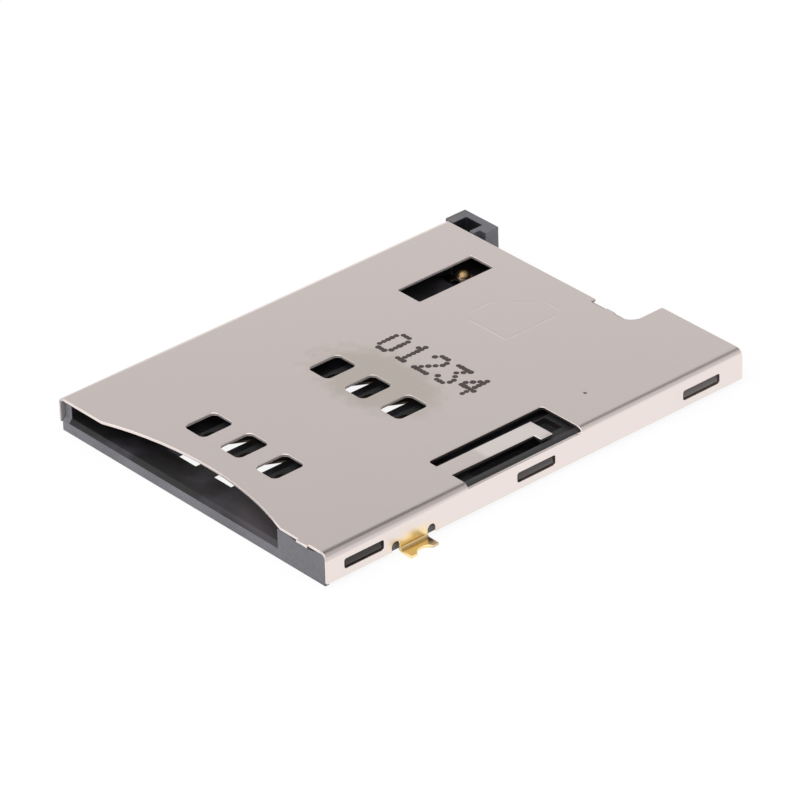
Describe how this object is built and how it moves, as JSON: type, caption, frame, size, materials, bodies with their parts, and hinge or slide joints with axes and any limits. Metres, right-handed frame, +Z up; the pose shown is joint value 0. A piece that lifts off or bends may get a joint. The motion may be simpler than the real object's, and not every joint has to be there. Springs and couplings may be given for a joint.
{
  "type": "sim card socket",
  "caption": "Flat push-push socket for a mini SIM card: folded metal shell with contact windows over a black tray, sprung ejector slider inside, solder tabs at the sides.",
  "frame": {"origin": "on the board plane, under the middle of the outline over the solder tabs", "axes": "+Y is the way the card goes in, +X is to the right seen from the card mouth, +Z up from the board"},
  "size_m": [0.0208, 0.0262, 0.0018],
  "materials": {
    "shell_sheet": "satin stainless sheet, gold flash on the solder tabs",
    "housing_plastic": "matt black moulding",
    "slider_plastic": "matt black moulding",
    "contact_strip": "gold-plated copper alloy strip",
    "spring_wire": "bright steel wire"
  },
  "bodies": {
    "socket": {"housing": "housing_plastic", "shell": "shell_sheet", "contact_a1": "contact_strip", "contact_a2": "contact_strip", "contact_a3": "contact_strip", "contact_b1": "contact_strip", "contact_b2": "contact_strip", "contact_b3": "contact_strip", "switch_spring": "contact_strip", "switch_terminal": "contact_strip", "eject_spring": "spring_wire"},
    "slider": {"slider": "slider_plastic"},
    "cam_pin": {"cam_pin": "spring_wire"}
  },
  "joints": [
    {"name": "slider_slide", "type": "slide", "parent": "socket", "child": "slider", "axis": [0, 1, 0], "range_m": [0, 0.004], "stiffness_N_per_m": 200, "deforming": ["eject_spring"]},
    {"name": "cam_pin_swing", "type": "hinge", "parent": "socket", "child": "cam_pin", "pos_m": [0.00792, 0.00161, 0.0014], "axis": [0, 0, 1], "range_deg": [0, 5.3]}
  ],
  "couplings": [
    {"joint": "cam_pin_swing", "follows": "slider_slide", "rad_per_m": 22.76}
  ]
}
